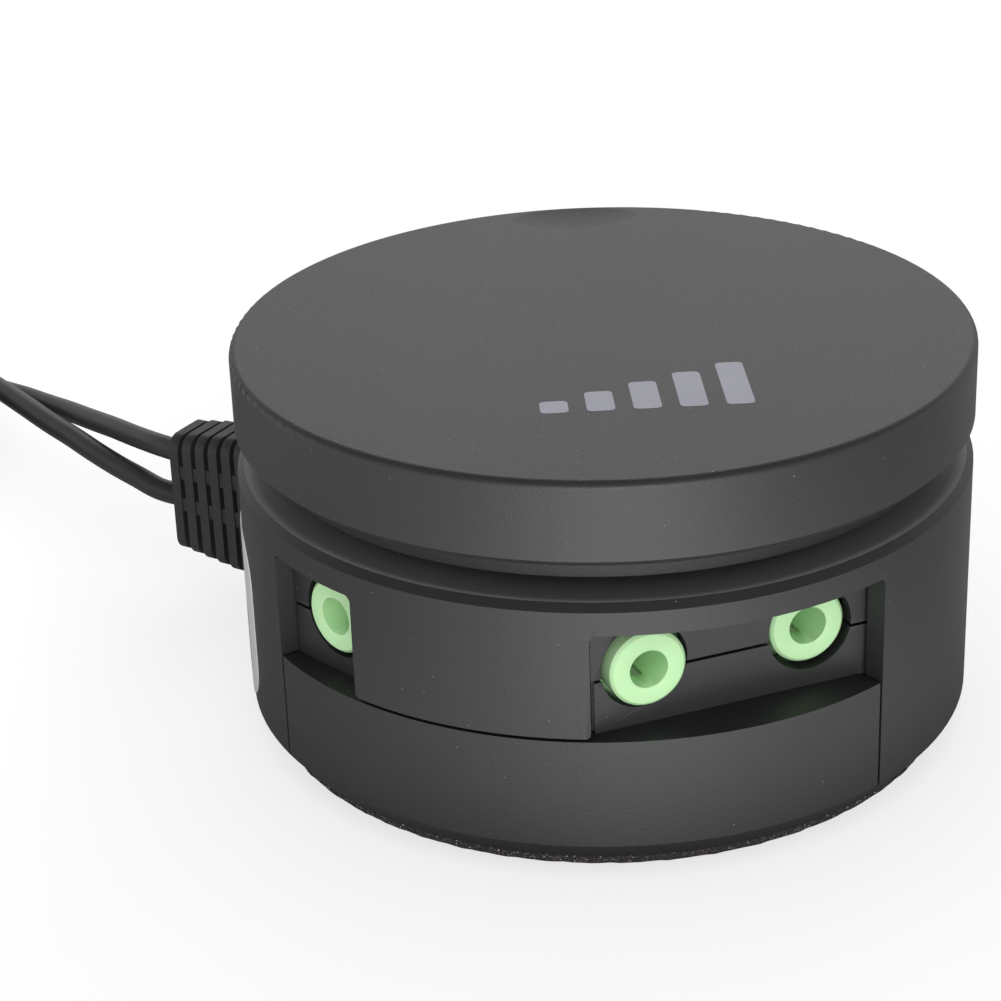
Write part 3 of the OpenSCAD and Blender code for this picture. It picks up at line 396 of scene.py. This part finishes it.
def step(t):
    t = min(max(t, 0), 1)
    return t * t * (3 - 2 * t)


def coil_at(coil, u):
    """Place on a coil after so many turns: layers wind inwards and outwards in turn, with a climb between."""
    x, y = coil["centre"]
    per_layer, climb = coil["turns"] / LAYERS, 0.5
    r = MID_R + PITCH * per_layer * (abs((u / per_layer) % 2 - 1) - 0.5)
    z = COIL_Z + PITCH * sum(step((u - k * per_layer) / climb + 0.5) for k in range(1, LAYERS))
    a = math.radians(coil["first"] + 360 * u)
    return Vector((x + r * math.cos(a), y + r * math.sin(a), z))


def coil_way(coil, u):
    a = math.radians(coil["first"] + 360 * u)
    return Vector((-math.sin(a), math.cos(a), 0))


def coil_line(coil):
    per_turn, turns = 36, coil["turns"]
    count = round(per_turn * turns)
    line = [coil_at(coil, turns * k / count) for k in range(count + 1)]
    return [line[0] - LEAD_D * coil_way(coil, 0)] + line + [line[-1] + LEAD_D * coil_way(coil, turns)]


def leave(z, s):
    """Place on the line on which a lead leaves the strain relief, so far past the relief's end."""
    return Vector(((RELIEF_END + s) * math.sin(RELIEF_AZ), -(RELIEF_END + s) * math.cos(RELIEF_AZ), z))


def smooth_line(points):
    """Catmull-Rom curve through the points."""
    pieces = 4
    p = [Vector(q) for q in points]
    p = [2 * p[0] - p[1]] + p + [2 * p[-1] - p[-2]]
    line = []
    for k in range(1, len(p) - 2):
        for j in range(pieces):
            t = j / pieces
            line.append(0.5 * (2 * p[k] + (p[k + 1] - p[k - 1]) * t
                + (2 * p[k - 1] - 5 * p[k] + 4 * p[k + 1] - p[k + 2]) * t * t
                + (3 * p[k] - p[k - 1] - 3 * p[k + 1] + p[k + 2]) * t * t * t))
    return line + [p[-2]]


def make_cord(name, lead, coil, tail):
    """Round cord along a lead, a coil and a tail, and its length in metres."""
    turns = coil_line(coil)
    join = [turns[0] - LEAD_D * coil_way(coil, 0), turns[0]]
    part = [turns[-1], turns[-1] + LEAD_D * coil_way(coil, coil["turns"])]
    line = smooth_line(lead + join)[:-1] + turns + smooth_line(part + tail)[1:]
    curve = bpy.data.curves.new(name, "CURVE")
    curve.dimensions = "3D"
    curve.bevel_depth = LEAD_D / 2 * MM
    curve.bevel_resolution = 3
    curve.use_fill_caps = True
    spline = curve.splines.new("POLY")
    spline.points.add(len(line) - 1)
    for point, place in zip(spline.points, line):
        point.co = (*(place * MM), 1)
    spline.use_smooth = True
    cord = bpy.data.objects.new(name, curve)
    scene.collection.objects.link(cord)
    curve.materials.append(cable_pvc)
    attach(cord, "base")
    return cord, sum((b - a).length for a, b in zip(line, line[1:])) * MM


# Straight run of each lead behind the strain relief
STRAIGHT = 1.2
upper_cord, upper_length = make_cord("upper_cord", [leave(UPPER_EXIT_Z, 0), leave(UPPER_EXIT_Z, STRAIGHT),
    (-47.9, 28, 14.9), (-51, 32.5, 13.9), (-54.2, 37.3, 12.9), (-57.7, 42.7, 11.6), (-61.1, 47.9, 10.4),
    (-64.8, 53.3, 9.1), (-68.5, 58.6, 7.9), (-72.4, 63.9, 6.6), (-75.6, 69.3, 5.1), (-78, 74.8, 3.8),
    (-80.2, 80.4, 2.8), (-82, 86.2, 2.1)], UPPER_COIL,
    [(-118.5, 88, 10), (-119.2, 83.5, 8.5), (-119.9, 79, 6.6), (-120.4, 74.5, 4.9), (-120.5, 70.5, 4.2),
    UPPER_END])
lower_cord, lower_length = make_cord("lower_cord", [leave(LOWER_EXIT_Z, 0), leave(LOWER_EXIT_Z, STRAIGHT),
    (-47.9, 26.7, 10.2), (-50.6, 29.4, 10.4), (-53.5, 32.7, 10.4), (-56.6, 36.4, 10.5), (-59.7, 40.5, 10.5),
    (-63.1, 45.1, 10.3), (-66.6, 50.1, 10.1), (-70.4, 55.8, 9.7), (-73.6, 60.9, 9.1), (-76.6, 66, 8),
    (-79.9, 71, 6.3), (-84, 75.3, 4.4), (-89, 77.9, 2.8), (-94.5, 77.4, 1.95)], LOWER_COIL,
    [(-105.9, 40.2, 9.9), (-104.6, 36.4, 8.4), (-103.6, 32.4, 6.5), (-103.1, 28.4, 4.9), (-103, 24.5, 4.2),
    LOWER_END])
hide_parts("upper_lead", "upper_coil", "upper_tail")
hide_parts("lower_lead", "lower_coil", "lower_tail")


# Pieces made here, in millimetres

def new_piece(name, bm, mat, body, smooth=True):
    mesh = bpy.data.meshes.new(name)
    bm.normal_update()
    bm.to_mesh(mesh)
    bm.free()
    for face in mesh.polygons:
        face.use_smooth = smooth
    mesh.materials.append(mat)
    piece = bpy.data.objects.new(name, mesh)
    scene.collection.objects.link(piece)
    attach(piece, body)
    return piece


def close_band(bm, low, high):
    """Four-sided faces between two rings with the same number of points."""
    for k in range(len(low)):
        j = (k + 1) % len(low)
        bm.faces.new((low[k], low[j], high[j], high[k]))


def rounded_loop(left, right, low, high, corner, steps):
    """Points round a rectangle with rounded corners, each with the way that it faces."""
    loop = []
    for x, y, first in ((right - corner, high - corner, 0), (left + corner, high - corner, 90),
            (left + corner, low + corner, 180), (right - corner, low + corner, 270)):
        for k in range(steps + 1):
            a = math.radians(first + 90 * k / steps)
            loop.append((x + corner * math.cos(a), y + corner * math.sin(a), math.cos(a), math.sin(a)))
    return loop


def lathe(profile, segments, wobble=None):
    """Closed turned shape about Z from (radius, height) points that start and end on the axis."""
    bm = bmesh.new()
    rings = []
    for r, z in profile:
        if r == 0:
            rings.append([bm.verts.new((0, 0, z * MM))])
            continue
        ring = []
        for k in range(segments):
            a = 2 * math.pi * k / segments
            s = r + (wobble(a, r, z) if wobble else 0)
            ring.append(bm.verts.new((s * math.cos(a) * MM, s * math.sin(a) * MM, z * MM)))
        rings.append(ring)
    for low, high in zip(rings, rings[1:]):
        if len(low) == len(high):
            close_band(bm, low, high)
            continue
        for k in range(segments):
            j = (k + 1) % segments
            bm.faces.new((low[0], high[j], high[k]) if len(low) == 1 else (low[k], low[j], high[0]))
    bmesh.ops.recalc_face_normals(bm, faces=bm.faces)
    return bm


FOAM_PROFILE = [(0, 0), (16, 0), (32.3, 0), (32.8, 0.08), (33.06, 0.35), (33.1, 0.62), (33.06, 0.9),
    (32.9, 1.12), (32.5, 1.19), (16, 1.19), (0, 1.19)]
# Radius past which the foam is ragged, how far its edge is set in, and each wave's size, count and slant
FOAM_CUT_R, FOAM_INSET = 32.4, 0.05
FOAM_WAVES = ((0.05, 53, 3), (0.04, 97, 7))


def ragged(a, r, z):
    if r < FOAM_CUT_R:
        return 0
    return sum(size * math.sin(count * a + slant * z) for size, count, slant in FOAM_WAVES) - FOAM_INSET


pad = new_piece("foam_disc", lathe(FOAM_PROFILE, segments=240, wobble=ragged), foam_skin, "base")
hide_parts("foam_pad")


def volume_bars():
    """Five rising bars printed on the knob: the general sign for volume."""
    bm = bmesh.new()
    ink_low, ink_high = 38.404, 38.42
    first_x, apart, wide, foot_y, corner = -7, 4.1, 2.5, -19.9, 0.5
    first_high, taller, count, turn = 2.6, 1.75, 5, 4.5
    for k in range(count):
        left, high = first_x + apart * k, first_high + taller * k
        loop = rounded_loop(left, left + wide, foot_y, foot_y + high, corner, steps=4)
        low, up = [[bm.verts.new((x * MM, y * MM, z * MM)) for x, y, *_ in loop] for z in (ink_low, ink_high)]
        bm.faces.new(up)
        bm.faces.new(low[::-1])
        close_band(bm, low, up)
    bm.transform(Matrix.Rotation(math.radians(turn), 4, "Z"))
    return bm


bars = new_piece("volume_bars", volume_bars(), bar_ink, "knob", smooth=False)


def label_marks():
    """Plain grey bars printed on the label, in no real code."""
    bm = bmesh.new()
    inner, outer, low_z, high_z, steps = 35.143, 35.156, 6.2, 12.6, 3
    # Angle round the body at which each bar starts, and the angle that it spans
    spans = ((-99, 1.6), (-96.2, 0.8), (-94.3, 2.2), (-90.6, 0.8), (-88.4, 1.5), (-85.8, 2.4), (-82.2, 0.9),
        (-80, 1.8))
    for first, wide in spans:
        rings = []
        for k in range(steps + 1):
            a = math.radians(first + wide * k / steps)
            rings.append([bm.verts.new((r * math.sin(a) * MM, -r * math.cos(a) * MM, z * MM))
                for r, z in ((inner, low_z), (outer, low_z), (outer, high_z), (inner, high_z))])
        for ring, after in zip(rings, rings[1:]):
            close_band(bm, ring, after)
        bm.faces.new(rings[0][::-1])
        bm.faces.new(rings[-1])
    bmesh.ops.recalc_face_normals(bm, faces=bm.faces)
    return bm


marks = new_piece("label_marks", label_marks(), mark_ink, "base", smooth=False)


def plug_moulding(name, node, place):
    """Plug's moulding with a ribbed sleeve and a waisted grip, inside the CAD moulding's outline."""
    sleeve, end, r, lead = 10, 27, 4.2, LEAD_D / 2
    neck, throat = lead + 0.6, r * 0.72
    ribs, rib_start, rib_apart, groove = 6, 0.9, 1.5, 0.45
    grip_r, grip_start, grip_long, waist, grip_steps = r - 0.02, sleeve + 1.6, 13, 0.4, 6
    profile = [(0, 0), (lead + 0.35, 0), (lead + 0.55, 0.25)]
    for k in range(ribs):
        y = rib_start + rib_apart * k
        wide = neck + (throat - neck) * y / sleeve
        profile += [(wide, y), (wide + 0.04, y + 0.7), (wide - groove, y + 0.85), (wide - groove, y + 1.3)]
    profile += [(throat, sleeve), (r - 0.25, sleeve + 0.7), (grip_r, sleeve + 1.1)]
    for k in range(grip_steps + 1):
        t = k / grip_steps
        profile.append((grip_r - waist * math.sin(math.pi * t), grip_start + grip_long * t))
    profile += [(r - 0.05, end - 1.2), (r - 0.35, end - 0.3), (r - 0.8, end), (0, end)]
    bm = lathe(profile, segments=48)
    bm.transform(Matrix.Translation(Vector(place) * MM) @ Matrix.Rotation(math.radians(90), 4, "X"))
    piece = new_piece(name, bm, cable_pvc, "base")
    round_edges(piece, "round_ribs", width=0.00008, sharp=40)
    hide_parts(node)
    return piece


upper_moulding = plug_moulding("upper_plug_moulding", "upper_plug", UPPER_END)
lower_moulding = plug_moulding("lower_plug_moulding", "lower_plug", LOWER_END)


def coil_strap(name, node, coil, angle):
    """Strap looped round a coil's turns, with rounded corners."""
    width, half, corner = 5.0, 0.25, 0.9
    gap_in, gap_out, gap_up = 0.6, 0.25, 0.2
    reach = PITCH * coil["turns"] / LAYERS / 2 + LEAD_D / 2
    top = COIL_Z + PITCH * (LAYERS - 1) + LEAD_D / 2 + gap_up + half
    near, far = MID_R - reach - gap_in - half, MID_R + reach + gap_out + half
    loop = rounded_loop(near, far, half, top, corner, steps=6)
    bm = bmesh.new()
    rings = []
    for x, z, out_x, out_z in loop:
        ring = []
        for side, face in ((-1, -half), (1, -half), (1, half), (-1, half)):
            place = Vector((x + out_x * face, side * width / 2, z + out_z * face))
            ring.append(bm.verts.new(place * MM))
        rings.append(ring)
    for ring, after in zip(rings, rings[1:] + rings[:1]):
        close_band(bm, ring, after)
    bmesh.ops.recalc_face_normals(bm, faces=bm.faces)
    turned = Matrix.Rotation(math.radians(angle), 4, "Z")
    bm.transform(Matrix.Translation(Vector((*coil["centre"], 0)) * MM) @ turned)
    piece = new_piece(name, bm, strap_nylon, "base")
    round_edges(piece, "round_edges", width=0.00012, sharp=40)
    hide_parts(node)
    return piece


upper_strap = coil_strap("upper_strap", "upper_tie", UPPER_COIL, angle=90)
lower_strap = coil_strap("lower_strap", "lower_tie", LOWER_COIL, angle=-30)

# Width of the rounding on each CAD node that has sharp edges in sight, in metres
SOFT_EDGES = {"upper_housing": 0.00018, "lower_housing": 0.00016, "knob_carrier": 0.00015,
    "strain_relief": 0.00014, "socket_left": 0.0002, "socket_middle": 0.0002, "socket_right": 0.0002}
for name, width in SOFT_EDGES.items():
    soften(name, width)


# Floor, light and background

floor_mesh = bpy.data.meshes.new("floor")
floor_mesh.from_pydata([(-3, -3, 0), (3, -3, 0), (3, 3, 0), (-3, 3, 0)], [], [(0, 1, 2, 3)])
floor = bpy.data.objects.new("floor", floor_mesh)
scene.collection.objects.link(floor)
floor_mat = material("pale_floor", (0.3, 0.3, 0.3), rough=0.9, Specular_IOR_Level=0.1)
floor_mesh.materials.append(floor_mat)
tree = floor_mat.node_tree

# The floor is white to the camera, most so under the leads, and keeps the object's shadow. In mirrored rays
# it is white in front of the object and farther off at the left, and darker round the foot and at the sides
MIDDLE_X = 0.009
spot = add(tree, "ShaderNodeTexCoord").outputs["Object"]
across, along, _ = parts(tree, spot)
away = length(tree, spot)
aside = maths(tree, "ABSOLUTE", maths(tree, "SUBTRACT", across, MIDDLE_X))
past_foot = ease(tree, away, 0.035, 0.062, 0.0, 1.0)
before_middle = ease(tree, aside, 0.005, 0.085, 2.0, 0.0)
before_foot = ease(tree, along, -0.035, 0.0, 1.0, 0.2)
in_front = maths(tree, "MULTIPLY", maths(tree, "MULTIPLY", past_foot, before_middle), before_foot)
beyond = ease(tree, away, 0.08, 0.13, 0.0, 0.6)
at_left = ease(tree, across, -0.03, 0.04, 1.0, 0.25)
far_off = maths(tree, "MULTIPLY", beyond, at_left)
path = add(tree, "ShaderNodeLightPath").outputs
mirrored = maths(tree, "MAXIMUM", path["Is Glossy Ray"], path["Is Transmission Ray"])
seen_level = ease(tree, across, -0.1, -0.045, 0.83, 0.68)
shine = maths(tree, "ADD", maths(tree, "MULTIPLY", path["Is Camera Ray"], seen_level),
    maths(tree, "MULTIPLY", mirrored, maths(tree, "ADD", in_front, far_off)))
glow = add(tree, "ShaderNodeEmission", [("Color", (1, 1, 1, 1)), ("Strength", shine)])
both = add(tree, "ShaderNodeAddShader", [(0, tree.nodes["Principled BSDF"].outputs[0]), (1, glow.outputs[0])])
tree.links.new(both.outputs[0], tree.nodes["Material Output"].inputs["Surface"])

# Studio: even light on the object, white to the camera. In mirrored rays it is a white backdrop all round,
# highest behind the object, under a dark room
world = bpy.data.worlds.new("studio")
scene.world = world
world.use_nodes = True
tree = world.node_tree
sky = tree.nodes["Background"]
sky.inputs["Color"].default_value = (1, 1, 1, 1)
LEAN, BACKDROP_EDGE = -0.1, (0.17, 0.57)
BACKDROP_LEVEL, ROOM_LEVEL = 0.8, 0.06
_, deep, high = parts(tree, add(tree, "ShaderNodeTexCoord").outputs["Generated"])
rise = maths(tree, "ADD", high, maths(tree, "MULTIPLY", deep, LEAN))
backdrop = ease(tree, rise, *BACKDROP_EDGE, BACKDROP_LEVEL, ROOM_LEVEL)
path = add(tree, "ShaderNodeLightPath").outputs
level = blend(tree, "FLOAT", path["Is Diffuse Ray"], backdrop, 1.0)
level = blend(tree, "FLOAT", path["Is Camera Ray"], level, 1.0)
tree.links.new(level, sky.inputs["Strength"])


def softbox(name, place, aim, size, power):
    lamp = bpy.data.lights.new(name, "AREA")
    lamp.shape = "RECTANGLE"
    lamp.size, lamp.size_y = size
    lamp.energy = power
    box = bpy.data.objects.new(name, lamp)
    scene.collection.objects.link(box)
    box.location = place
    box.rotation_euler = (Vector(aim) - Vector(place)).to_track_quat("-Z", "Y").to_euler()


softbox("front_light", place=(0.07, -0.52, 0.06), aim=(0, 0, 0.02), size=(0.34, 0.1), power=1.1)
softbox("back_light", place=(0.05, 0.6, 0.4), aim=(0, 0, 0.03), size=(0.6, 0.3), power=0.8)
